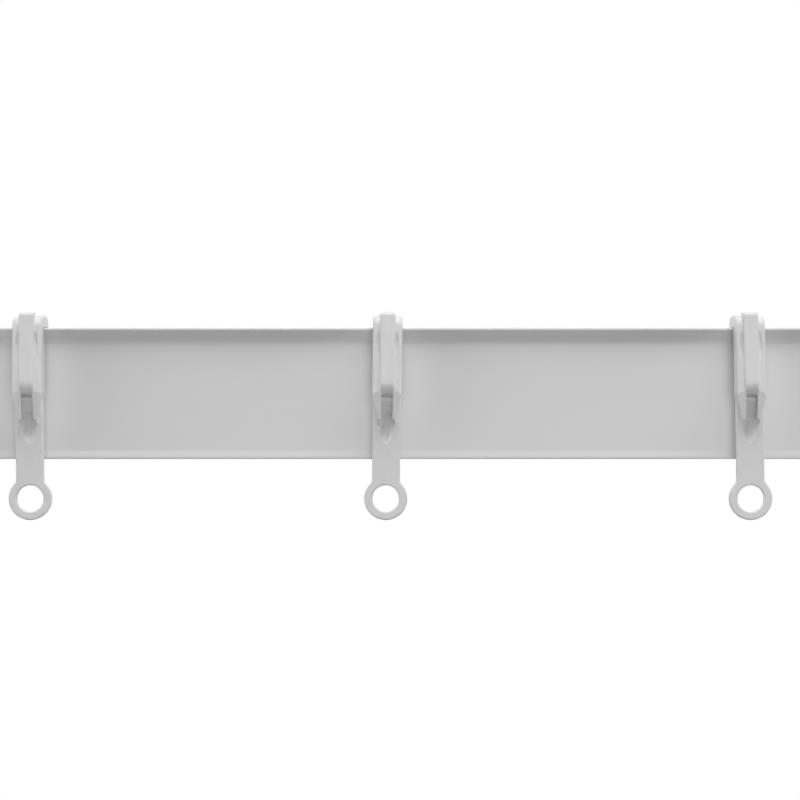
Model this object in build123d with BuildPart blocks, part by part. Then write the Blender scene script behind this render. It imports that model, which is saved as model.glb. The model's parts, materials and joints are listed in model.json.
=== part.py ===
"""Wall-fixed curtain rail: a flat fascia, gliders that hook over its top, end stops, turn-lock brackets.

Frame: X runs along the rail, the fascia faces -Y, Z is up.  The origin is on the wall plane, behind
the middle of the rail, level with the middle of the fascia.  All sizes are in millimetres.
"""
import os
from math import atan, degrees

from build123d import *

# ---------------------------------------------------------------- rail
RAIL_LENGTH = 600.0          # sawn length of the extrusion
WALL_TO_FACE = 38.0          # wall plane to the flat front of the fascia
FASCIA_HEIGHT = 25.0         # overall height of the fascia
WALL = 1.5                   # thickness of the fascia
LIP_OUT = 1.7                # how far the top lip stands in front of the fascia
LIP_DROP = 2.7               # height of the lip, its sloping underside included
LIP_NOSE = 0.45              # height of the lip's upright nose above the slope
LIP_ROOT_R = 1.5             # fillet where the slope runs into the fascia
FOOT_OUT = 0.25              # slight forward flare along the bottom edge
FOOT_RISE = 1.6              # height of that flare
BEAD_BACK = 1.2              # bead behind the top edge, which holds the gliders on: reach
BEAD_HIGH = 1.0              # the same bead: height at its tip
HEM_BACK = 0.9               # stiffening hem behind the bottom edge
CHANNEL_SHARE = 0.44         # clear height inside the rear channel, as a share of the fascia's
CHANNEL_LIP = 1.6            # how far each lip closes the channel's mouth
CHANNEL_DEEP = 3.2           # clear depth of the channel in front of the lips
FLANGE = 1.2                 # thickness of the channel's flanges and lips
EDGE_R = 0.25                # rounding of the extrusion's outer edges

# ---------------------------------------------------------------- gliders
# place of each glider as a share of the rail's half length, and its sideways lean in degrees
GLIDERS = [(-0.743, 0.4), (-0.511, -0.5), (-0.282, 0.3), (-0.049, -0.3),
           (0.182, -0.6), (0.409, 0.7), (0.637, -0.6), (0.865, 0.3)]
RUN_TOP = 0.15               # clearance over the rail's top
RUN_FRONT = 0.6              # clearance in front of the lip
RUN_BACK = 0.25              # clearance behind the bead
STRAP_WIDE = 5.3             # flat tail
STRAP_THICK = 1.3
STRAP_SOFT = 0.3             # rounding of the tail's and ring's edges
BODY_WIDE = 5.6              # arch, flanks and rear leg
BODY_RISE = 1.9              # flanks stand this far in front of the tail, level with the rail's top
BODY_LEAN = 1.2              # how much further out they are at their lower end
BODY_SOFT = 0.7              # rounding of the arch's and flanks' outer edges
ARCH_RISE = 2.6              # arch above the rail's top
ARCH_R = 2.9                 # rounding of the arch, front and back
FLANK_DOWN = 12.2            # where the flanks begin to draw together, below the rail's top
FLANK_END = 17.4             # their pointed lower end, below the rail's top
FLANK_TIP_WIDE = 3.3         # over the pointed end
FLANK_TIP_RISE = 2.1         # pointed end in front of the tail
FLANK_TIP_DROP = 1.4         # height of the slope from the pointed end back to the tail
RIB_WIDE = 2.8               # rib down the glider's front
RIB_PROUD = 0.8              # rib in front of the flanks
RIB_OVER = 0.35              # rib above the arch
RIB_CROWN_R = 0.9            # rounding of the rib's upper corner
RIB_SOFT = 0.4               # rounding of the rib's edges
RIB_DOWN = 10.2              # where the rib's front begins to round back, below the rail's top
RIB_END = 13.3               # lower end of the rib, below the rail's top
GROOVE_R = 0.45              # slots beside the rib: widest radius
GROOVE_OUT = 0.1             # their axis, in front of the flanks
GROOVE_OFF = 0.25            # their middle, outside the rib's side
GROOVE_TOP = 0.3             # their upper end, below the rail's top
GROOVE_LONG = 5.6            # their length
HOLLOW_RISE = 1.3            # floor of the hollow under the rib, in front of the tail
HOLLOW_BEND = 14.0           # where that floor begins to slope back, below the rail's top
HOLLOW_WIDE = 2.2            # width between the pointed ends
SCOOP_R = 1.6                # scoop below the hollow: widest radius
SCOOP_DEEP = 0.7             # how deep it goes into the tail
SCOOP_TOP = 15.0             # its upper end, below the rail's top
SCOOP_WIDEST = 18.8          # where it is widest, below the rail's top
SCOOP_LOW = 22.6             # its lower end, below the rail's top
SCOOP_TILT = 8.0             # lean of its axis, in degrees
CORE_WIDE = 2.4              # pocket in the back that keeps the moulding's walls even
CORE_DEEP = 2.0
CORE_START = 4.9             # its upper end, below the rail's top
CORE_END = 12.4              # its lower end, below the rail's top
LEG_THICK = 1.25             # leg behind the rail
LEG_DOWN = 4.2               # lower end of that leg, below the rail's top
BARB_GAP = 0.4               # between the barb and the underside of the rail's bead
BARB_REACH = 1.05            # how far the barb stands out of the leg
EYE_BELOW = 7.4              # eye centre below the fascia's lower edge
EYE_R = 2.5                  # hole for the curtain hook
EYE_RIM = 1.6                # width of the ring around it
NECK_R = 1.2                 # fillet between tail and ring

# ---------------------------------------------------------------- end stops
STOP_GRIP = 10.0             # length of the stop over the rail
STOP_END = 2.0               # thickness of its closed end
STOP_SKIN = 1.6              # wall around the fascia
STOP_CLEAR = 0.15            # clearance on the rail
STOP_ROUND = 1.2             # rounding of the long corners
STOP_SHOULDER = 4.0          # height of the slope between the thick and thin front
STOP_BACK = 1.9              # tongue behind the fascia, in the channel
GRUB_R = 1.25                # clamping screw
GRUB_LONG = 3.4
GRUB_SLOT = 0.5
GRUB_SLOT_DEEP = 0.7
THREAD_EASE = 0.02           # radial ease of a screw in its thread

# ---------------------------------------------------------------- brackets
BRACKET_INSET = 50.0         # outer brackets in from the rail's ends
PLATE_WIDE = 22.0            # plate against the wall
PLATE_OVER = 7.5             # wall plate above and below the fascia's edges
PLATE_THICK = 3.0
PLATE_CORNER = 4.0
PLATE_SOFT = 0.8             # rounding of the plate's front edges
SCREW_INSET = 6.5            # wall screw holes in from the plate's ends
SCREW_R = 2.0                # for 3.5 mm countersunk wood screws
SCREW_HEAD_R = 3.7
HEAD_WIDE = 18.0             # head plate behind the rail, and the arm above it
HEAD_OVER = 0.8              # head plate above and below the channel
HEAD_THICK = 2.5
HEAD_CORNER = 2.0
ARM_THICK = 2.5
ARM_ROOT_R = 1.5             # fillets under the arm where it meets its plates
WEB_THICK = 2.0              # side webs under the arm
WEB_START = 13.5             # webs begin this far behind the fascia
WEB_DEEP = 12.0              # depth of the webs where they meet the wall plate

# ---------------------------------------------------------------- turn lock
SPINDLE_SHARE = 2 / 3        # spindle radius as a share of the mouth's half height
RUN_FIT = 0.06               # radial clearance of the spindle in the bracket's head
CAM_SHORT = 0.25             # half length of the cam, less than the channel's half height
CAM_NARROW = 0.5             # half width of the cam, less than the mouth's half height
CAM_GAP = 0.15               # between the cam and the channel's lips
CAM_THICK = 2.2
LEVER_GAP = 0.15             # between the lever and the bracket's head
LEVER_THICK = 2.0
LEVER_SOFT = 0.5             # rounding of the lever's back edges
LEVER_UNDER_ARM = 0.8        # between the lever's round boss and the arm above it
LEVER_TIP_SHARE = 0.55       # lever's tip radius as a share of the boss's
LEVER_BELOW = 6.5            # how far the opened lever reaches below the fascia
GRIP_RISE = 0.6              # thumb ridges near the tip
GRIP_THICK = 0.8
GRIP_PITCH = 1.8
GRIP_SHORT = 0.9             # the ridges stop this far inside the lever's edge
SQUARE_SHARE = 1.23          # square end of the spindle in the lever, as a share of its radius
SQUARE_SHORT = 0.2           # the square stops this far below the lever's back
PIVOT_SHARE = 0.385          # pivot screw radius as a share of the spindle's
PIVOT_HEAD_R = 2.3
PIVOT_HEAD_HIGH = 1.2
PIVOT_HEAD_SOFT = 0.5
PIVOT_LONG = 6.0
PIVOT_SLOT = 0.5
PIVOT_SLOT_DEEP = 0.6
PIVOT_SLOT_SHARE = 1.4       # length of the cross slots as a share of the head's radius

FACE_Y = -WALL_TO_FACE
HALF_LENGTH = RAIL_LENGTH / 2
TOP = FASCIA_HEIGHT / 2
BOTTOM = -TOP
CHANNEL_HALF = CHANNEL_SHARE * FASCIA_HEIGHT / 2
MOUTH_HALF = CHANNEL_HALF - CHANNEL_LIP
LIP_FRONT = WALL + CHANNEL_DEEP          # front of the channel's lips, behind the fascia
LIP_BACK = LIP_FRONT + FLANGE            # back of the channel's lips
STRAP_BACK = LIP_OUT + RUN_FRONT         # back of the glider's front half, ahead of the fascia
STRAP_FRONT = STRAP_BACK + STRAP_THICK
STRAP_MIDDLE = STRAP_BACK + STRAP_THICK / 2
LEG_FRONT = WALL + BEAD_BACK + RUN_BACK  # front of the glider's rear leg, behind the fascia
LEG_BACK = LEG_FRONT + LEG_THICK
BEAD_LOW = TOP - BEAD_HIGH - BEAD_BACK / 3
BARB_TOP = BEAD_LOW - BARB_GAP
LEG_LOW = TOP - LEG_DOWN
CROWN = TOP + ARCH_RISE
BODY_HIGH_OUT = STRAP_FRONT + BODY_RISE          # flanks, level with the rail's top
BODY_LOW_OUT = BODY_HIGH_OUT + BODY_LEAN         # flanks, where they begin to draw together
FLANK_TURN = TOP - FLANK_DOWN
FLANK_TIP = TOP - FLANK_END
FLANK_FOOT = FLANK_TIP - FLANK_TIP_DROP
FRONT_SLOPE = BODY_LEAN / FLANK_DOWN             # run of the front per millimetre of drop
EYE_DROP = -BOTTOM + EYE_BELOW
RING_R = EYE_R + EYE_RIM
HEAD_BACK = LIP_BACK + HEAD_THICK
LEVER_FRONT = HEAD_BACK + LEVER_GAP
LEVER_BACK = LEVER_FRONT + LEVER_THICK
CAM_BACK = LIP_FRONT - CAM_GAP
CAM_REACH = CHANNEL_HALF - CAM_SHORT
CAM_HALF = MOUTH_HALF - CAM_NARROW
SPINDLE_R = SPINDLE_SHARE * MOUTH_HALF
SQUARE = SQUARE_SHARE * SPINDLE_R
PIVOT_SCREW_R = PIVOT_SHARE * SPINDLE_R
ARM_TOP = CHANNEL_HALF + FLANGE + HEAD_OVER
HEAD_HIGH = 2 * ARM_TOP
LEVER_BOSS_R = ARM_TOP - ARM_THICK - LEVER_UNDER_ARM
LEVER_TIP_R = LEVER_TIP_SHARE * LEVER_BOSS_R
LEVER_REACH = TOP + LEVER_BELOW
PLATE_HIGH = FASCIA_HEIGHT + 2 * PLATE_OVER
SCREW_PITCH = PLATE_HIGH - 2 * SCREW_INSET
BRACKETS = {"left": BRACKET_INSET - HALF_LENGTH, "centre": 0.0, "right": HALF_LENGTH - BRACKET_INSET}
STOP_MIDDLE = HALF_LENGTH - STOP_GRIP / 2

os.makedirs("parts", exist_ok=True)


def section_plane(x):
    """Upright plane across the rail at x: first axis is depth behind the fascia, second is height."""
    return Plane(origin=(x, FACE_Y, 0), x_dir=(0, 1, 0), z_dir=(1, 0, 0))


def facing_plane(behind):
    """Upright plane parallel to the fascia and this far behind it, with its normal to the room."""
    return Plane(origin=(0, FACE_Y + behind, 0), x_dir=(1, 0, 0), z_dir=(0, -1, 0))


def wallward_plane(behind):
    """The same plane with its normal towards the wall, drawn in X and height mirrored in X."""
    return Plane(origin=(0, FACE_Y + behind, 0), x_dir=(-1, 0, 0), z_dir=(0, 1, 0))


def save(builder, name):
    """Label one finished sub-part and write it out."""
    builder.part.label = name
    export_step(builder.part, f"parts/{name}.step")


# outline of the extrusion, up the front from the bottom of the fascia and back down behind it
RAIL_OUTLINE = [
    (-FOOT_OUT, BOTTOM),
    (-FOOT_OUT, BOTTOM + FOOT_RISE / 3),
    (0, BOTTOM + FOOT_RISE),
    (0, TOP - LIP_DROP),
    (-LIP_OUT, TOP - LIP_NOSE),
    (-LIP_OUT, TOP),
    (WALL + BEAD_BACK, TOP),
    (WALL + BEAD_BACK, TOP - BEAD_HIGH),
    (WALL, BEAD_LOW),
    (WALL, CHANNEL_HALF + FLANGE),
    (LIP_BACK, CHANNEL_HALF + FLANGE),
    (LIP_BACK, MOUTH_HALF),
    (LIP_FRONT, MOUTH_HALF),
    (LIP_FRONT, CHANNEL_HALF),
    (WALL, CHANNEL_HALF),
    (WALL, -CHANNEL_HALF),
    (LIP_FRONT, -CHANNEL_HALF),
    (LIP_FRONT, -MOUTH_HALF),
    (LIP_BACK, -MOUTH_HALF),
    (LIP_BACK, -CHANNEL_HALF - FLANGE),
    (WALL, -CHANNEL_HALF - FLANGE),
    (WALL, BOTTOM + FLANGE),
    (WALL + HEM_BACK, BOTTOM + FLANGE),
    (WALL + HEM_BACK, BOTTOM),
]

# ---------------------------------------------------------------- the extruded rail
with BuildPart() as rail:
    with BuildSketch(section_plane(-HALF_LENGTH)) as rail_section:
        with BuildLine():
            Polyline(*RAIL_OUTLINE, close=True)
        make_face()
        outer_corners = rail_section.vertices().filter_by(
            lambda v: abs(v.X - LIP_BACK) < 0.01 or v.X < 0.01 - FOOT_OUT or v.X > WALL + HEM_BACK - 0.01)
        fillet(outer_corners, EDGE_R)
        lip_root = rail_section.vertices().filter_by(
            lambda v: abs(v.X) < 0.01 and abs(v.Y - TOP + LIP_DROP) < 0.01)
        fillet(lip_root, LIP_ROOT_R)
    extrude(amount=RAIL_LENGTH)
save(rail, "rail")

# ---------------------------------------------------------------- glider: arch, flanks and rear leg
with BuildPart() as glider_body:
    with BuildSketch(section_plane(0)) as body_section:
        with BuildLine():
            Polyline(
                (-STRAP_BACK, FLANK_FOOT),
                (-STRAP_MIDDLE, FLANK_FOOT),
                (-STRAP_FRONT - FLANK_TIP_RISE, FLANK_TIP),
                (-BODY_LOW_OUT, FLANK_TURN),
                (-BODY_HIGH_OUT + FRONT_SLOPE * ARCH_RISE, CROWN),
                (LEG_BACK, CROWN),
                (LEG_BACK, LEG_LOW + LEG_THICK / 2),
                (LEG_BACK - LEG_THICK / 2, LEG_LOW),
                (LEG_FRONT - BARB_REACH / 4, LEG_LOW),
                (LEG_FRONT - BARB_REACH, BARB_TOP - BARB_REACH),
                (LEG_FRONT - BARB_REACH, BARB_TOP - BARB_REACH / 3),
                (LEG_FRONT - BARB_REACH * 2 / 3, BARB_TOP),
                (LEG_FRONT, BARB_TOP),
                (LEG_FRONT, TOP + RUN_TOP),
                (-STRAP_BACK, TOP + RUN_TOP),
                close=True)
        make_face()
        fillet(body_section.vertices().group_by(Axis.Y)[-1], ARCH_R)
    extrude(amount=BODY_WIDE / 2, both=True)
    with BuildSketch(facing_plane(LEG_BACK)):
        Polygon(
            (-BODY_WIDE / 2, CROWN), (-BODY_WIDE / 2, FLANK_TURN), (-FLANK_TIP_WIDE / 2, FLANK_TIP),
            (-FLANK_TIP_WIDE / 2, FLANK_FOOT), (FLANK_TIP_WIDE / 2, FLANK_FOOT),
            (FLANK_TIP_WIDE / 2, FLANK_TIP), (BODY_WIDE / 2, FLANK_TURN), (BODY_WIDE / 2, CROWN),
            align=None)
    extrude(amount=LEG_BACK + BODY_LOW_OUT, mode=Mode.INTERSECT)
    arch_edges = glider_body.edges().filter_by(
        lambda e: abs(e.center().X) > BODY_WIDE / 2 - 0.01 and e.center().Z > TOP + RUN_TOP + STRAP_SOFT)
    fillet(arch_edges, BODY_SOFT)

    with BuildSketch(section_plane(0)):
        Polygon(
            (-BODY_LOW_OUT, TOP - RIB_DOWN), (-STRAP_FRONT - HOLLOW_RISE, TOP - RIB_DOWN),
            (-STRAP_FRONT - HOLLOW_RISE, TOP - HOLLOW_BEND), (-STRAP_MIDDLE, FLANK_FOOT),
            (-BODY_LOW_OUT, FLANK_FOOT), align=None)
    extrude(amount=HOLLOW_WIDE / 2, both=True, mode=Mode.SUBTRACT)

# ---------------------------------------------------------------- glider: rib over the arch, down the front
with BuildPart() as glider_rib:
    with BuildSketch(section_plane(0)) as rib_section:
        with BuildLine():
            rib_front = Line(
                (-BODY_HIGH_OUT - RIB_PROUD + FRONT_SLOPE * (ARCH_RISE + RIB_OVER), CROWN + RIB_OVER),
                (-BODY_HIGH_OUT - RIB_PROUD - FRONT_SLOPE * RIB_DOWN, TOP - RIB_DOWN))
            rib_foot = TangentArc(
                rib_front @ 1, (-STRAP_FRONT - HOLLOW_RISE / 2, TOP - RIB_END), tangent=rib_front % 1)
            Polyline(
                rib_foot @ 1, (-STRAP_FRONT, TOP - RIB_DOWN),
                (-STRAP_FRONT, TOP + RUN_TOP + RIB_OVER), (RIB_OVER, TOP + RUN_TOP + RIB_OVER),
                (RIB_OVER, CROWN - RIB_OVER), (-RIB_OVER, CROWN + RIB_OVER), rib_front @ 0)
        make_face()
        fillet(rib_section.vertices().sort_by(Axis.Y)[-2:].sort_by(Axis.X)[0], RIB_CROWN_R)
    extrude(amount=RIB_WIDE / 2, both=True)
    rib_edges = glider_rib.edges().filter_by(
        lambda e: abs(e.center().X) > RIB_WIDE / 2 - 0.01
        and e.center().Y < FACE_Y - BODY_HIGH_OUT and e.center().Z > TOP - RIB_END + RIB_SOFT)
    fillet(rib_edges, RIB_SOFT)

# ---------------------------------------------------------------- glider: cutters for the slots and the scoop
# their seams face the room, clear of the moulding
CUTTER_PLANE = Plane(origin=(0, 0, 0), x_dir=(0, -1, 0), z_dir=(-1, 0, 0))

with BuildPart() as groove_cutter:
    with BuildSketch(CUTTER_PLANE):
        with BuildLine():
            ThreePointArc((0, GROOVE_LONG / 2), (GROOVE_R, 0), (0, -GROOVE_LONG / 2))
            Line((0, -GROOVE_LONG / 2), (0, GROOVE_LONG / 2))
        make_face()
    revolve(axis=Axis.Z)

with BuildPart() as scoop_cutter:
    with BuildSketch(CUTTER_PLANE):
        with BuildLine():
            TangentArc((SCOOP_R, 0), (0, SCOOP_WIDEST - SCOOP_TOP), tangent=(0, 1))
            TangentArc((SCOOP_R, 0), (0, SCOOP_WIDEST - SCOOP_LOW), tangent=(0, -1))
            Line((0, SCOOP_WIDEST - SCOOP_LOW), (0, SCOOP_WIDEST - SCOOP_TOP))
        make_face()
    revolve(axis=Axis.Z)

# ---------------------------------------------------------------- glider: the whole moulding at x = 0
with BuildPart() as glider_shape:
    with BuildSketch(facing_plane(-STRAP_BACK)):
        with Locations((0, FLANK_TURN)):
            Rectangle(STRAP_WIDE, FLANK_TURN + EYE_DROP, align=(Align.CENTER, Align.MAX))
        with Locations((0, -EYE_DROP)):
            Circle(RING_R)
    extrude(amount=STRAP_THICK)
    neck_edges = glider_shape.edges().filter_by(Axis.Y).filter_by(
        lambda e: -EYE_DROP < e.center().Z < BOTTOM)
    fillet(neck_edges, NECK_R)
    with BuildSketch(facing_plane(-STRAP_BACK)):
        with Locations((0, -EYE_DROP)):
            Circle(EYE_R)
    extrude(amount=STRAP_THICK, mode=Mode.SUBTRACT)
    soft_edges = glider_shape.edges().filter_by(
        lambda e: min(abs(e.center().Y - FACE_Y + out) for out in (STRAP_FRONT, STRAP_BACK)) < 0.01)
    fillet(soft_edges.filter_by(lambda e: e.center().Z < FLANK_TURN - STRAP_SOFT), STRAP_SOFT)
    add(glider_body.part)
    with Locations(Location((0, FACE_Y - STRAP_FRONT - SCOOP_R + SCOOP_DEEP, TOP - SCOOP_WIDEST),
                            (SCOOP_TILT, 0, 0))):
        add(scoop_cutter.part, mode=Mode.SUBTRACT)
    add(glider_rib.part)
    groove_middle = GROOVE_TOP + GROOVE_LONG / 2
    for groove_side in (-1, 1):
        with Locations(Location(
                (groove_side * (RIB_WIDE / 2 + GROOVE_OFF),
                 FACE_Y - BODY_HIGH_OUT - GROOVE_OUT - FRONT_SLOPE * groove_middle, TOP - groove_middle),
                (-degrees(atan(FRONT_SLOPE)), 0, 0))):
            add(groove_cutter.part, mode=Mode.SUBTRACT)
    with BuildSketch(facing_plane(-STRAP_BACK)):
        with Locations((0, TOP - CORE_START)):
            Rectangle(CORE_WIDE, CORE_END - CORE_START, align=(Align.CENTER, Align.MAX))
    extrude(amount=CORE_DEEP, mode=Mode.SUBTRACT)

# ---------------------------------------------------------------- the gliders on the rail
for number, (place, lean) in enumerate(GLIDERS, start=1):
    on_rail = Location((place * HALF_LENGTH, 0, TOP), (0, lean, 0)) * Location((0, 0, -TOP))
    with BuildPart() as glider:
        add(glider_shape.part.moved(on_rail))
    save(glider, f"glider_{number}")

# ---------------------------------------------------------------- end stops and their clamping screws
with BuildPart() as stop_shape:
    with BuildSketch(section_plane(HALF_LENGTH - STOP_GRIP)):
        reach = STOP_CLEAR + STOP_SKIN
        Polygon(
            (-LIP_OUT - reach, TOP + reach), (-LIP_OUT - reach, TOP - LIP_DROP - reach),
            (-FOOT_OUT - reach, TOP - LIP_DROP - reach - STOP_SHOULDER), (-FOOT_OUT - reach, BOTTOM - reach),
            (WALL + STOP_CLEAR + STOP_BACK, BOTTOM - reach), (WALL + STOP_CLEAR + STOP_BACK, TOP + reach),
            align=None)
    extrude(amount=STOP_GRIP + STOP_END)
    fillet(stop_shape.edges().filter_by(Axis.X), STOP_ROUND)
    fillet(stop_shape.faces().sort_by(Axis.X)[-1].edges(), STOP_ROUND / 2)
    with BuildSketch(facing_plane(-FOOT_OUT - STOP_CLEAR)):
        with Locations((STOP_MIDDLE + STOP_END / 2, BOTTOM)):
            Rectangle(STRAP_WIDE, EYE_DROP + BOTTOM, align=(Align.CENTER, Align.MAX))
        with Locations((STOP_MIDDLE + STOP_END / 2, -EYE_DROP)):
            Circle(RING_R)
    extrude(amount=STRAP_THICK)
    stop_neck = stop_shape.edges().filter_by(Axis.Y).filter_by(
        lambda e: -EYE_DROP < e.center().Z < BOTTOM - reach - STOP_ROUND / 2)
    fillet(stop_neck, NECK_R)
    with BuildSketch(facing_plane(-FOOT_OUT - STOP_CLEAR)):
        with Locations((STOP_MIDDLE + STOP_END / 2, -EYE_DROP)):
            Circle(EYE_R)
    extrude(amount=STRAP_THICK, mode=Mode.SUBTRACT)
    with BuildSketch(section_plane(HALF_LENGTH - STOP_GRIP)):
        with BuildLine():
            Polyline(*RAIL_OUTLINE, close=True)
        make_face()
        offset(amount=STOP_CLEAR, kind=Kind.INTERSECTION)
    extrude(amount=STOP_GRIP, mode=Mode.SUBTRACT)
    with BuildSketch(facing_plane(LIP_FRONT)):
        with Locations((STOP_MIDDLE, 0)):
            Circle(GRUB_R + THREAD_EASE)
    extrude(amount=CHANNEL_DEEP, mode=Mode.SUBTRACT)

with BuildPart() as grub_shape:
    with BuildSketch(wallward_plane(WALL)):
        with Locations((-STOP_MIDDLE, 0)):
            Circle(GRUB_R)
    extrude(amount=GRUB_LONG)
    with BuildSketch(facing_plane(WALL + GRUB_LONG)):
        with Locations((STOP_MIDDLE, 0)):
            Rectangle(2 * GRUB_R + GRUB_SLOT, GRUB_SLOT)
    extrude(amount=GRUB_SLOT_DEEP, mode=Mode.SUBTRACT)

with BuildPart() as end_stop_right:
    add(stop_shape.part)
save(end_stop_right, "end_stop_right")

with BuildPart() as end_stop_left:
    add(stop_shape.part.mirror(Plane.YZ))
save(end_stop_left, "end_stop_left")

with BuildPart() as end_screw_right:
    add(grub_shape.part)
save(end_screw_right, "end_screw_right")

with BuildPart() as end_screw_left:
    add(grub_shape.part.mirror(Plane.YZ))
save(end_screw_left, "end_screw_left")

# ---------------------------------------------------------------- brackets with their turn locks
for side, place in BRACKETS.items():
    with BuildPart() as bracket:
        with BuildSketch(facing_plane(WALL_TO_FACE)):
            with Locations((place, 0)):
                RectangleRounded(PLATE_WIDE, PLATE_HIGH, PLATE_CORNER)
        extrude(amount=PLATE_THICK)
        fillet(bracket.faces().sort_by(Axis.Y)[0].edges(), PLATE_SOFT)
        with BuildSketch(facing_plane(HEAD_BACK)):
            with Locations((place, 0)):
                RectangleRounded(HEAD_WIDE, HEAD_HIGH, HEAD_CORNER)
        extrude(amount=HEAD_THICK)
        arm_half = HEAD_WIDE / 2 - HEAD_CORNER
        with BuildSketch(section_plane(place - arm_half)):
            with Locations((LIP_BACK, ARM_TOP)):
                Rectangle(WALL_TO_FACE - LIP_BACK, ARM_THICK, align=(Align.MIN, Align.MAX))
        extrude(amount=2 * arm_half)
        arm_roots = bracket.edges().filter_by(Axis.X).filter_by(
            lambda e: ARM_TOP - ARM_THICK - THREAD_EASE < e.center().Z < ARM_TOP - ARM_THICK / 2)
        fillet(arm_roots, ARM_ROOT_R)
        for web_start in (place - arm_half, place + arm_half - WEB_THICK):
            with BuildSketch(section_plane(web_start)):
                Polygon(
                    (WEB_START, ARM_TOP - ARM_THICK / 2),
                    (WALL_TO_FACE - PLATE_THICK / 2, ARM_TOP - ARM_THICK / 2),
                    (WALL_TO_FACE - PLATE_THICK / 2, ARM_TOP - ARM_THICK - WEB_DEEP),
                    (WALL_TO_FACE - PLATE_THICK, ARM_TOP - ARM_THICK - WEB_DEEP),
                    (WEB_START, ARM_TOP - ARM_THICK), align=None)
            extrude(amount=WEB_THICK)
        with Locations(facing_plane(WALL_TO_FACE - PLATE_THICK)):
            with Locations((place, SCREW_PITCH / 2), (place, -SCREW_PITCH / 2)):
                CounterSinkHole(SCREW_R, SCREW_HEAD_R, depth=PLATE_THICK)
        with BuildSketch(facing_plane(HEAD_BACK)):
            with Locations((place, 0)):
                Circle(SPINDLE_R + RUN_FIT)
        extrude(amount=HEAD_THICK, mode=Mode.SUBTRACT)
    save(bracket, f"bracket_{side}")

    with BuildPart() as lock_cam:
        with BuildSketch(facing_plane(CAM_BACK)):
            with Locations((place, 0)):
                Circle(CAM_REACH)
                Rectangle(2 * CAM_HALF, 3 * CAM_REACH, mode=Mode.INTERSECT)
        extrude(amount=CAM_THICK)
        with BuildSketch(facing_plane(LEVER_FRONT)):
            with Locations((place, 0)):
                Circle(SPINDLE_R)
        extrude(amount=LEVER_FRONT - CAM_BACK)
        with BuildSketch(facing_plane(LEVER_BACK - SQUARE_SHORT)):
            with Locations((place, 0)):
                Rectangle(SQUARE, SQUARE)
        extrude(amount=LEVER_THICK - SQUARE_SHORT)
        with BuildSketch(facing_plane(LEVER_BACK)):
            with Locations((place, 0)):
                Circle(PIVOT_SCREW_R + THREAD_EASE)
        extrude(amount=PIVOT_LONG + SQUARE_SHORT, mode=Mode.SUBTRACT)
    save(lock_cam, f"lock_cam_{side}")

    with BuildPart() as lock_lever:
        with BuildSketch(facing_plane(LEVER_BACK)):
            with Locations((place, 0)):
                Circle(LEVER_BOSS_R)
            with Locations((place + LEVER_REACH - LEVER_TIP_R, 0)):
                Circle(LEVER_TIP_R)
            make_hull()
        extrude(amount=LEVER_THICK)
        fillet(lock_lever.faces().sort_by(Axis.Y)[-1].edges(), LEVER_SOFT)
        with BuildSketch(facing_plane(LEVER_BACK)):
            with Locations((place, 0)):
                Rectangle(SQUARE, SQUARE)
        extrude(amount=LEVER_THICK, mode=Mode.SUBTRACT)
        with BuildSketch(wallward_plane(LEVER_BACK)):
            with Locations((-place - LEVER_REACH + LEVER_TIP_R + GRIP_PITCH, 0)):
                with GridLocations(GRIP_PITCH, 0, 3, 1):
                    Rectangle(GRIP_THICK, 2 * (LEVER_TIP_R - GRIP_SHORT))
        extrude(amount=GRIP_RISE)
    save(lock_lever, f"lock_lever_{side}")

    with BuildPart() as lock_screw:
        with BuildSketch(wallward_plane(LEVER_BACK)):
            with Locations((-place, 0)):
                Circle(PIVOT_HEAD_R)
        extrude(amount=PIVOT_HEAD_HIGH)
        fillet(lock_screw.faces().sort_by(Axis.Y)[-1].edges(), PIVOT_HEAD_SOFT)
        with BuildSketch(facing_plane(LEVER_BACK)):
            with Locations((place, 0)):
                Circle(PIVOT_SCREW_R)
        extrude(amount=PIVOT_LONG)
        with BuildSketch(facing_plane(LEVER_BACK + PIVOT_HEAD_HIGH)):
            with Locations((place, 0)):
                Rectangle(PIVOT_SLOT_SHARE * PIVOT_HEAD_R, PIVOT_SLOT)
                Rectangle(PIVOT_SLOT, PIVOT_SLOT_SHARE * PIVOT_HEAD_R)
        extrude(amount=PIVOT_SLOT_DEEP, mode=Mode.SUBTRACT)
    save(lock_screw, f"lock_screw_{side}")
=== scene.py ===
"""Looks for the curtain rail: extruded and moulded white plastics, zinc-plated screws, pale studio.

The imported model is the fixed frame. Its nodes keep their shapes; this file gives them finishes and
builds the floor, the soft lights and the camera around them. Lengths are metres unless a name says mm.
"""
import json
import math

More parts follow.
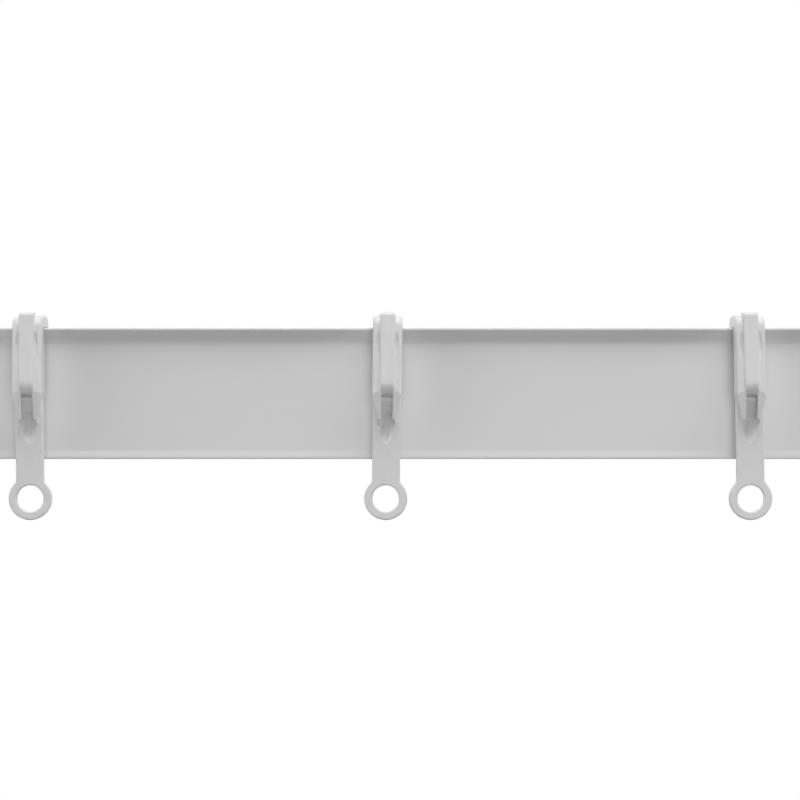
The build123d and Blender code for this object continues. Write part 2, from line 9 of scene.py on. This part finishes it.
import bpy
import numpy as np
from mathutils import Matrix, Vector

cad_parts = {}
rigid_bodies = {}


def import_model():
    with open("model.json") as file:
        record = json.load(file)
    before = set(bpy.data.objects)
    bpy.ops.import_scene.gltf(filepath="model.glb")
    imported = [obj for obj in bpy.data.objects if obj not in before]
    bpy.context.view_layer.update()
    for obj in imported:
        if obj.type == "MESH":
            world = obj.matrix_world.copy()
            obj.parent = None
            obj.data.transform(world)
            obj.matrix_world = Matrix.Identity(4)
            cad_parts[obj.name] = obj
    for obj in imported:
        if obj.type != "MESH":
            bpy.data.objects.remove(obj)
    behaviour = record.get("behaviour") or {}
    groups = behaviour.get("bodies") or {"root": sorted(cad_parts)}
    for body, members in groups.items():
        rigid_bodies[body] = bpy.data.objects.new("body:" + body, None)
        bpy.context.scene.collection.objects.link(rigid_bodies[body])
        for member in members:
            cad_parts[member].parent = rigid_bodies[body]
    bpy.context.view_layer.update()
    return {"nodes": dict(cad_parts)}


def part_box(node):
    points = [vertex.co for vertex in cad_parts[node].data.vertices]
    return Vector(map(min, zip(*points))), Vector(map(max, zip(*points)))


bl_info = {
    "name": "Curtain Rail Finishes",
    "version": (1, 0, 0),
    "blender": (4, 5, 0),
    "location": "3D View > Sidebar > Curtain Rail",
    "description": "Finishes and a pale studio for a flat-fronted curtain rail",
    "category": "Object",
}

for leftover in list(bpy.data.objects):
    bpy.data.objects.remove(leftover)
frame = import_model()
MM = 0.001
RAIL_LOW = Vector(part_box("rail")[0])
LIP_OUT_MM = 1.7             # the rail's lip in front of the flat of its fascia
FASCIA_Y = RAIL_LOW.y + LIP_OUT_MM * MM
GLIDERS = sorted(n for n in frame["nodes"] if n.startswith("glider_"))
SCREWS = sorted(n for n in frame["nodes"] if "screw" in n)
LOCKS = sorted(n for n in frame["nodes"] if n.startswith(("lock_cam", "lock_lever")))
BRACKETS = sorted(n for n in frame["nodes"] if n.startswith("bracket_"))
END_STOPS = sorted(n for n in frame["nodes"] if n.startswith("end_stop_"))

UPVC_IOR, ACETAL_IOR, NYLON_IOR = 1.53, 1.48, 1.53
DIE_LINE_MM = 0.25           # width of one line left by the die
DIE_LINE_SQUEEZE = 0.003     # the pattern's scale along the rail, which draws the lines out
COOLING_WAVE_MM = 9.0        # slow waves in the extrusion's skin
COOLING_SQUEEZE = 0.25
BLADE_RING_MM = 6.0          # marks of the saw blade
SAWN_ROUGHNESS = 0.8
FLOW_MARK_MM = 1.6           # flow marks of the moulded acetal
FLOW_SQUEEZE = 0.33          # the pattern's scale up the glider
ACETAL_SKIN_MM = 0.18
ACETAL_DEPTH_MM = 0.8        # how far light wanders under the acetal's skin
SPARK_GRAIN_MM = 0.3
NYLON_CLOUD_MM = 4.0
ZINC_FILM_MM = 1.2
LATHE_RING_MM = 0.15
LATHE_SQUEEZE = 0.2
CAST_CLOUD_MM = 12.0         # clouding of the opal floor

FLOOR_POINTS = 9             # grid points along each side of the floor
WHITE_AROUND = 1.0           # brightness of the surroundings seen directly or mirrored
DIM_AROUND = 0.08            # and as they light matt surfaces
SENSOR_WIDTH_MM = 36.0
CLIP_NEAR, CLIP_FAR = 0.01, 400.0


def linear(code):
    """An sRGB hex colour such as "#E3E3E1" as linear red, green, blue and full alpha."""
    channels = [int(code.lstrip("#")[i:i + 2], 16) / 255 for i in (0, 2, 4)]
    curve = [c / 12.92 if c <= 0.04045 else ((c + 0.055) / 1.055) ** 2.4 for c in channels]
    return (*curve, 1.0)


def add_node(tree, kind, settings=None, inputs=None, links=None):
    """Add one shader node, set its options and socket values, and link its sockets to other nodes."""
    new = tree.nodes.new(kind)
    for option, value in (settings or {}).items():
        setattr(new, option, value)
    for socket, value in (inputs or {}).items():
        new.inputs[socket].default_value = value
    for socket, (source, output) in (links or {}).items():
        tree.links.new(source.outputs[output], new.inputs[socket])
    return new


def new_material(name):
    """An empty node material and its tree."""
    material = bpy.data.materials.new(name)
    material.use_nodes = True
    material.node_tree.nodes.clear()
    return material, material.node_tree


def per_metre(size_mm):
    """Noise scale whose lumps are about this many millimetres across."""
    return 1.0 / (size_mm * MM)


def finish_material(tree, shader):
    """Send the shader to the surface."""
    add_node(tree, "ShaderNodeOutputMaterial", links={"Surface": (shader, "BSDF")})


def ramp_colours(tree, source, output, stops):
    """A colour ramp over a node's output, with (position, colour) stops."""
    ramp = add_node(tree, "ShaderNodeValToRGB", links={"Fac": (source, output)})
    while len(ramp.color_ramp.elements) < len(stops):
        ramp.color_ramp.elements.new(0.5)
    for element, (position, colour) in zip(ramp.color_ramp.elements, stops):
        element.position, element.color = position, colour
    return ramp


def extruded_upvc(finish):
    """Rigid white uPVC, extruded and sawn to length.

    A satin skin drawn through a steel die: long faint lines along the rail, a slow waviness in the
    gloss, and matt sawn ends with the marks of the blade.
    """
    material, tree = new_material("extruded_white_upvc")
    place = add_node(tree, "ShaderNodeTexCoord")
    # die lines: narrow lumps drawn out hundreds of times along the rail
    drawn = add_node(tree, "ShaderNodeMapping", inputs={"Scale": (DIE_LINE_SQUEEZE, 1.0, 1.0)},
                     links={"Vector": (place, "Object")})
    lines = add_node(tree, "ShaderNodeTexNoise",
                     inputs={"Scale": per_metre(DIE_LINE_MM), "Detail": 3.0, "Roughness": 0.6},
                     links={"Vector": (drawn, "Vector")})
    # the skin's slow waviness, from uneven cooling: lumps four times longer along the rail
    cooled = add_node(tree, "ShaderNodeMapping", inputs={"Scale": (COOLING_SQUEEZE, 1.0, 1.0)},
                      links={"Vector": (place, "Object")})
    waves = add_node(tree, "ShaderNodeTexNoise",
                     inputs={"Scale": per_metre(COOLING_WAVE_MM), "Detail": 2.0},
                     links={"Vector": (cooled, "Vector")})
    # blade marks, only on faces that look along the rail
    marks = add_node(tree, "ShaderNodeTexWave", {"wave_type": "RINGS", "rings_direction": "X"},
                     inputs={"Scale": per_metre(BLADE_RING_MM), "Distortion": 1.5, "Detail": 2.0},
                     links={"Vector": (place, "Object")})
    facing = add_node(tree, "ShaderNodeSeparateXYZ", links={"Vector": (place, "Normal")})
    along = add_node(tree, "ShaderNodeMath", {"operation": "ABSOLUTE"}, links={0: (facing, "X")})
    sawn = add_node(tree, "ShaderNodeMapRange", inputs={"From Min": 0.8, "From Max": 0.95},
                    links={"Value": (along, "Value")})
    colour = ramp_colours(tree, waves, "Fac",
                          [(0.3, linear(finish.rail_shade)), (0.7, linear(finish.rail_colour))])
    gloss = add_node(tree, "ShaderNodeMapRange",
                     inputs={"From Min": 0.3, "From Max": 0.7, "To Min": finish.rail_roughness - 0.05,
                             "To Max": finish.rail_roughness + 0.06},
                     links={"Value": (lines, "Fac")})
    rough = add_node(tree, "ShaderNodeMix", {"data_type": "FLOAT"}, inputs={"B": SAWN_ROUGHNESS},
                     links={"Factor": (sawn, "Result"), "A": (gloss, "Result")})
    relief = add_node(tree, "ShaderNodeBump", inputs={"Strength": 0.25, "Distance": 0.004 * MM},
                      links={"Height": (lines, "Fac")})
    sag = add_node(tree, "ShaderNodeBump", inputs={"Strength": 0.4, "Distance": 0.05 * MM},
                   links={"Height": (waves, "Fac"), "Normal": (relief, "Normal")})
    blade = add_node(tree, "ShaderNodeBump", inputs={"Distance": 0.05 * MM},
                     links={"Height": (marks, "Fac"), "Strength": (sawn, "Result"),
                            "Normal": (sag, "Normal")})
    shader = add_node(tree, "ShaderNodeBsdfPrincipled", inputs={"IOR": UPVC_IOR},
                      links={"Base Color": (colour, "Color"), "Roughness": (rough, "Result"),
                             "Normal": (blade, "Normal")})
    finish_material(tree, shader)
    return material


def moulded_acetal(finish):
    """White acetal, injection moulded in a polished tool.

    A slippery, slightly translucent plastic: soft edges glow a little, the skin has faint flow marks
    and a low sheen.
    """
    material, tree = new_material("moulded_white_acetal")
    place = add_node(tree, "ShaderNodeTexCoord")
    # flow marks where the melt ran down the tail: lumps drawn out to three times their width in height
    flowed = add_node(tree, "ShaderNodeMapping", inputs={"Scale": (1.0, 1.0, FLOW_SQUEEZE)},
                      links={"Vector": (place, "Object")})
    flow = add_node(tree, "ShaderNodeTexNoise",
                    inputs={"Scale": per_metre(FLOW_MARK_MM), "Detail": 3.0, "Distortion": 0.6},
                    links={"Vector": (flowed, "Vector")})
    skin = add_node(tree, "ShaderNodeTexNoise",
                    inputs={"Scale": per_metre(ACETAL_SKIN_MM), "Detail": 2.0},
                    links={"Vector": (place, "Object")})
    colour = ramp_colours(tree, flow, "Fac",
                          [(0.3, linear(finish.glider_shade)), (0.7, linear(finish.glider_colour))])
    gloss = add_node(tree, "ShaderNodeMapRange",
                     inputs={"From Min": 0.25, "From Max": 0.75,
                             "To Min": finish.glider_roughness - 0.06,
                             "To Max": finish.glider_roughness + 0.08},
                     links={"Value": (flow, "Fac")})
    grain = add_node(tree, "ShaderNodeBump", inputs={"Strength": 0.3, "Distance": 0.006 * MM},
                     links={"Height": (skin, "Fac")})
    relief = add_node(tree, "ShaderNodeBump", inputs={"Strength": 0.5, "Distance": 0.03 * MM},
                      links={"Height": (flow, "Fac"), "Normal": (grain, "Normal")})
    shader = add_node(tree, "ShaderNodeBsdfPrincipled",
                      inputs={"IOR": ACETAL_IOR, "Subsurface Weight": 0.2,
                              "Subsurface Scale": ACETAL_DEPTH_MM * MM,
                              "Subsurface Radius": (1.0, 0.95, 0.9)},
                      links={"Base Color": (colour, "Color"), "Roughness": (gloss, "Result"),
                             "Normal": (relief, "Normal")})
    finish_material(tree, shader)
    return material


def moulded_nylon(finish):
    """White glass-filled nylon, injection moulded in a spark-eroded tool.

    A fine even grain that kills reflections, with slightly cloudy patches where the fill shows.
    """
    material, tree = new_material("moulded_white_nylon")
    place = add_node(tree, "ShaderNodeTexCoord")
    # the real grain is about 0.1 mm; it is drawn three times coarser so that it still shows a little
    grain = add_node(tree, "ShaderNodeTexVoronoi", {"feature": "SMOOTH_F1"},
                     inputs={"Scale": per_metre(SPARK_GRAIN_MM), "Smoothness": 1.0},
                     links={"Vector": (place, "Object")})
    clouds = add_node(tree, "ShaderNodeTexNoise",
                      inputs={"Scale": per_metre(NYLON_CLOUD_MM), "Detail": 4.0},
                      links={"Vector": (place, "Object")})
    colour = ramp_colours(tree, clouds, "Fac",
                          [(0.3, linear(finish.bracket_shade)), (0.7, linear(finish.bracket_colour))])
    gloss = add_node(tree, "ShaderNodeMapRange",
                     inputs={"From Min": 0.3, "From Max": 0.7, "To Min": finish.bracket_roughness - 0.05,
                             "To Max": finish.bracket_roughness + 0.08},
                     links={"Value": (clouds, "Fac")})
    relief = add_node(tree, "ShaderNodeBump", inputs={"Strength": 0.5, "Distance": 0.02 * MM},
                      links={"Height": (grain, "Distance")})
    shader = add_node(tree, "ShaderNodeBsdfPrincipled", inputs={"IOR": NYLON_IOR},
                      links={"Base Color": (colour, "Color"), "Roughness": (gloss, "Result"),
                             "Normal": (relief, "Normal")})
    finish_material(tree, shader)
    return material


def zinc_plated_steel(finish):
    """Turned steel screws, bright zinc plated and passivated.

    A cool bright metal with a faint blue and straw play of colour and fine lathe rings under the
    plating.
    """
    material, tree = new_material("zinc_plated_steel")
    place = add_node(tree, "ShaderNodeTexCoord")
    film = add_node(tree, "ShaderNodeTexNoise",
                    inputs={"Scale": per_metre(ZINC_FILM_MM), "Detail": 2.0},
                    links={"Vector": (place, "Object")})
    turned = add_node(tree, "ShaderNodeMapping", inputs={"Scale": (1.0, LATHE_SQUEEZE, 1.0)},
                      links={"Vector": (place, "Object")})
    rings = add_node(tree, "ShaderNodeTexNoise",
                     inputs={"Scale": per_metre(LATHE_RING_MM), "Detail": 2.0},
                     links={"Vector": (turned, "Vector")})
    colour = ramp_colours(tree, film, "Fac",
                          [(0.3, linear(finish.zinc_blue)), (0.5, linear(finish.zinc_colour)),
                           (0.72, linear(finish.zinc_straw))])
    gloss = add_node(tree, "ShaderNodeMapRange", inputs={"To Min": 0.2, "To Max": 0.4},
                     links={"Value": (rings, "Fac")})
    relief = add_node(tree, "ShaderNodeBump", inputs={"Strength": 0.3, "Distance": 0.006 * MM},
                      links={"Height": (rings, "Fac")})
    shader = add_node(tree, "ShaderNodeBsdfPrincipled", inputs={"Metallic": 1.0},
                      links={"Base Color": (colour, "Color"), "Roughness": (gloss, "Result"),
                             "Normal": (relief, "Normal")})
    finish_material(tree, shader)
    return material


def light_table(stage):
    """Cast opal acrylic, rubbed matt and lit from below.

    An even pale glow, faintly clouded.
    """
    material, tree = new_material("opal_acrylic_floor")
    place = add_node(tree, "ShaderNodeTexCoord")
    clouding = add_node(tree, "ShaderNodeTexNoise",
                        inputs={"Scale": per_metre(CAST_CLOUD_MM), "Detail": 4.0},
                        links={"Vector": (place, "Object")})
    colour = ramp_colours(tree, clouding, "Fac",
                          [(0.3, linear(stage.floor_shade)), (0.7, linear(stage.floor_colour))])
    relief = add_node(tree, "ShaderNodeBump", inputs={"Strength": 0.2, "Distance": 0.2 * MM},
                      links={"Height": (clouding, "Fac")})
    shader = add_node(tree, "ShaderNodeBsdfPrincipled",
                      inputs={"Roughness": 0.85, "Emission Strength": stage.floor_glow},
                      links={"Base Color": (colour, "Color"), "Emission Color": (colour, "Color"),
                             "Normal": (relief, "Normal")})
    finish_material(tree, shader)
    return material


def dress(nodes, material):
    """Give every slot of these CAD nodes one material."""
    for name in nodes:
        piece = frame["nodes"][name]
        if not piece.data.materials:
            piece.data.materials.append(material)
        for index in range(len(piece.data.materials)):
            piece.data.materials[index] = material


def floor_mesh(half, height, count):
    """A square grid at one height: x and y run evenly from -half to half, every cell a quad."""
    steps = np.linspace(-half, half, count)
    x, y = np.meshgrid(steps, steps, indexing="ij")
    points = np.stack([x, y, np.full_like(x, height)], axis=-1).reshape(-1, 3)
    index = np.arange(count * count).reshape(count, count)
    corners = [index[:-1, :-1], index[1:, :-1], index[1:, 1:], index[:-1, 1:]]
    quads = np.stack(corners, axis=-1).reshape(-1, 4)
    mesh = bpy.data.meshes.new("studio_floor")
    mesh.from_pydata(points.tolist(), [], quads.tolist())
    mesh.update()
    return mesh


# each soft light: bearing round from the rail's front towards its right end, angle above the level and
# angle across, all in degrees, and share of the light
SOFT_LIGHTS = [
    ("overhead_front", -3.0, 70.0, 28.0, 0.48),
    ("low_right", 85.0, -20.0, 26.0, 0.42),
    ("low_left", -76.0, -20.0, 28.0, 0.38),
    ("left_bank", -70.0, 20.0, 26.0, 0.20),
    ("high_right", 50.0, 45.0, 34.0, 0.26),
    ("overhead_right", 85.0, 70.0, 24.0, 0.15),
    ("front_fill", 8.0, 0.0, 34.0, 0.22),
    ("rear_left", -150.0, 35.0, 50.0, 0.30),
    ("rear_right", 150.0, 30.0, 50.0, 0.24),
]


def soft_light(name, bearing, height, width, share, target, distance):
    """A round area light that faces the target, as wide as the given angle seen from there."""
    lamp = bpy.data.lights.new(name, "AREA")
    lamp.shape = "DISK"
    lamp.size = 2 * distance * math.tan(math.radians(width / 2))
    # a Lambertian disk of power P gives P / (pi d^2) at distance d; a share of 1 is an irradiance of pi
    lamp.energy = share * math.pi ** 2 * distance ** 2
    turn, rise = math.radians(bearing), math.radians(height)
    away = Vector((math.sin(turn) * math.cos(rise), -math.cos(turn) * math.cos(rise), math.sin(rise)))
    light = bpy.data.objects.new(name, lamp)
    light.location = target + distance * away
    light.rotation_euler = away.to_track_quat("Z", "Y").to_euler()
    bpy.context.scene.collection.objects.link(light)


class RailFinish(bpy.types.PropertyGroup):
    """Colours and gloss of the rail and its fittings."""
    rail_colour: bpy.props.StringProperty(
        name="Rail colour", description="Extruded uPVC, sRGB hex", default="#E2E2E2")
    rail_shade: bpy.props.StringProperty(
        name="Rail shade", description="Darker end of the uPVC's slow waviness, sRGB hex",
        default="#E0E0E0")
    rail_roughness: bpy.props.FloatProperty(
        name="Rail roughness", description="Satin skin of the extrusion",
        default=0.36, min=0.1, max=0.9, subtype="FACTOR")
    glider_colour: bpy.props.StringProperty(
        name="Glider colour", description="Moulded acetal, sRGB hex", default="#E6E6E6")
    glider_shade: bpy.props.StringProperty(
        name="Glider shade", description="Darker end of the acetal's flow marks, sRGB hex",
        default="#E1E1E1")
    glider_roughness: bpy.props.FloatProperty(
        name="Glider roughness", description="Skin of the moulded acetal",
        default=0.38, min=0.1, max=0.9, subtype="FACTOR")
    bracket_colour: bpy.props.StringProperty(
        name="Bracket colour", description="Moulded nylon, sRGB hex", default="#E4E4E3")
    bracket_shade: bpy.props.StringProperty(
        name="Bracket shade", description="Darker end of the nylon's clouding, sRGB hex",
        default="#DEDEDD")
    bracket_roughness: bpy.props.FloatProperty(
        name="Bracket roughness", description="Spark-eroded grain of the nylon",
        default=0.55, min=0.1, max=0.9, subtype="FACTOR")
    zinc_colour: bpy.props.StringProperty(
        name="Zinc colour", description="Bright zinc plating, sRGB hex", default="#CDD0D2")
    zinc_blue: bpy.props.StringProperty(
        name="Zinc blue", description="Cool end of the passivated film, sRGB hex", default="#C2CAD2")
    zinc_straw: bpy.props.StringProperty(
        name="Zinc straw", description="Warm end of the passivated film, sRGB hex", default="#D2CFC2")


class StudioSettings(bpy.types.PropertyGroup):
    """Floor, lights and camera around the rail."""
    floor_drop: bpy.props.FloatProperty(
        name="Floor drop", description="Floor below the fascia's lower edge", default=0.40, min=0.05,
        unit="LENGTH")
    floor_half: bpy.props.FloatProperty(
        name="Floor half width", description="Half the side of the square floor", default=1.3, min=0.4,
        unit="LENGTH")
    floor_colour: bpy.props.StringProperty(
        name="Floor colour", description="Opal acrylic, sRGB hex", default="#F4F4F4")
    floor_shade: bpy.props.StringProperty(
        name="Floor shade", description="Darker end of the cast sheet's clouding, sRGB hex",
        default="#F1F1F1")
    floor_glow: bpy.props.FloatProperty(
        name="Floor glow", description="Light from below, through the opal sheet", default=0.7, min=0.0)
    light_distance: bpy.props.FloatProperty(
        name="Light distance", description="Soft lights to the middle of the view", default=3.0, min=1.0,
        unit="LENGTH")
    view_along: bpy.props.FloatProperty(
        name="View along rail", description="Middle of the view, right of the rail's middle",
        default=0.125, unit="LENGTH")
    view_height: bpy.props.FloatProperty(
        name="View height", description="Camera height from the fascia's middle", default=-0.00124,
        unit="LENGTH", precision=5)
    view_distance: bpy.props.FloatProperty(
        name="View distance", description="Camera to the front of the fascia", default=0.45, min=0.1,
        unit="LENGTH")
    view_width: bpy.props.FloatProperty(
        name="View width", description="Width of rail that fills the view", default=0.15267, min=0.02,
        unit="LENGTH")


class CURTAINRAIL_OT_rail(bpy.types.Operator):
    """Finish the extruded rail"""
    bl_idname = "curtainrail.rail"
    bl_label = "Rail"

    def execute(self, context):
        dress(["rail"], extruded_upvc(context.scene.rail_finish))
        return {"FINISHED"}


class CURTAINRAIL_OT_gliders(bpy.types.Operator):
    """Finish the moulded gliders"""
    bl_idname = "curtainrail.gliders"
    bl_label = "Gliders"

    def execute(self, context):
        if not GLIDERS:
            raise RuntimeError("the frame has no gliders")
        dress(GLIDERS, moulded_acetal(context.scene.rail_finish))
        return {"FINISHED"}


class CURTAINRAIL_OT_fixings(bpy.types.Operator):
    """Finish the brackets, turn locks and end stops"""
    bl_idname = "curtainrail.fixings"
    bl_label = "Brackets, locks and end stops"

    def execute(self, context):
        if not (BRACKETS and LOCKS and END_STOPS):
            raise RuntimeError("the frame lacks a bracket, a turn lock or an end stop")
        dress(BRACKETS + LOCKS + END_STOPS, moulded_nylon(context.scene.rail_finish))
        return {"FINISHED"}


class CURTAINRAIL_OT_screws(bpy.types.Operator):
    """Finish the screws"""
    bl_idname = "curtainrail.screws"
    bl_label = "Screws"

    def execute(self, context):
        if not SCREWS:
            raise RuntimeError("the frame has no screws")
        dress(SCREWS, zinc_plated_steel(context.scene.rail_finish))
        return {"FINISHED"}


class CURTAINRAIL_OT_studio(bpy.types.Operator):
    """Build the floor, soft lights, surroundings and camera"""
    bl_idname = "curtainrail.studio"
    bl_label = "Studio"

    def execute(self, context):
        stage, scene = context.scene.rail_studio, context.scene
        floor = bpy.data.objects.new(
            "studio_floor",
            floor_mesh(stage.floor_half, RAIL_LOW.z - stage.floor_drop, FLOOR_POINTS))
        scene.collection.objects.link(floor)
        floor.data.materials.append(light_table(stage))
        floor.visible_diffuse = False   # its glow is seen, but doesn't light the rail
        middle = Vector((stage.view_along, FASCIA_Y, 0.0))
        for name, bearing, height, width, share in SOFT_LIGHTS:
            soft_light(name, bearing, height, width, share, middle, stage.light_distance)
        world = bpy.data.worlds.new("white_surround")
        world.use_nodes = True
        scene.world = world
        tree = world.node_tree
        tree.nodes.clear()
        path = add_node(tree, "ShaderNodeLightPath")
        dim = add_node(tree, "ShaderNodeBackground",
                       inputs={"Color": linear("#FFFFFF"), "Strength": DIM_AROUND})
        white = add_node(tree, "ShaderNodeBackground",
                         inputs={"Color": linear("#FFFFFF"), "Strength": WHITE_AROUND})
        either = add_node(tree, "ShaderNodeMixShader",
                          links={0: (path, "Is Diffuse Ray"), 1: (white, "Background"),
                                 2: (dim, "Background")})
        add_node(tree, "ShaderNodeOutputWorld", links={"Surface": (either, "Shader")})
        lens = bpy.data.cameras.new("front_view")
        lens.sensor_width = SENSOR_WIDTH_MM
        lens.lens = lens.sensor_width * stage.view_distance / stage.view_width
        lens.clip_start, lens.clip_end = CLIP_NEAR, CLIP_FAR
        camera = bpy.data.objects.new("front_view", lens)
        camera.location = (stage.view_along, FASCIA_Y - stage.view_distance, stage.view_height)
        camera.rotation_euler = (math.pi / 2, 0.0, 0.0)
        scene.collection.objects.link(camera)
        scene.camera = camera
        scene.view_settings.view_transform = "Standard"
        return {"FINISHED"}


class CURTAINRAIL_PT_panel(bpy.types.Panel):
    """Lists the rail's finishes and the studio's settings"""
    bl_idname = "CURTAINRAIL_PT_panel"
    bl_label = "Curtain Rail"
    bl_space_type = "VIEW_3D"
    bl_region_type = "UI"
    bl_category = "Curtain Rail"

    def draw(self, context):
        for group in (context.scene.rail_finish, context.scene.rail_studio):
            column = self.layout.column(align=True)
            for setting in group.bl_rna.properties:
                if setting.identifier not in ("rna_type", "name"):
                    column.prop(group, setting.identifier)
        for operator in OPERATORS:
            self.layout.operator(operator.bl_idname)


OPERATORS = (CURTAINRAIL_OT_rail, CURTAINRAIL_OT_gliders, CURTAINRAIL_OT_fixings, CURTAINRAIL_OT_screws,
             CURTAINRAIL_OT_studio)
CLASSES = (RailFinish, StudioSettings, *OPERATORS, CURTAINRAIL_PT_panel)


def register():
    """Register the classes and hang both groups of settings on the scene."""
    for cls in CLASSES:
        bpy.utils.register_class(cls)
    bpy.types.Scene.rail_finish = bpy.props.PointerProperty(type=RailFinish)
    bpy.types.Scene.rail_studio = bpy.props.PointerProperty(type=StudioSettings)


def unregister():
    """Undo register, in reverse."""
    del bpy.types.Scene.rail_studio
    del bpy.types.Scene.rail_finish
    for cls in reversed(CLASSES):
        bpy.utils.unregister_class(cls)


def main():
    register()
    bpy.ops.curtainrail.rail()
    bpy.ops.curtainrail.gliders()
    bpy.ops.curtainrail.fixings()
    bpy.ops.curtainrail.screws()
    bpy.ops.curtainrail.studio()


if __name__ == "__main__":
    main()
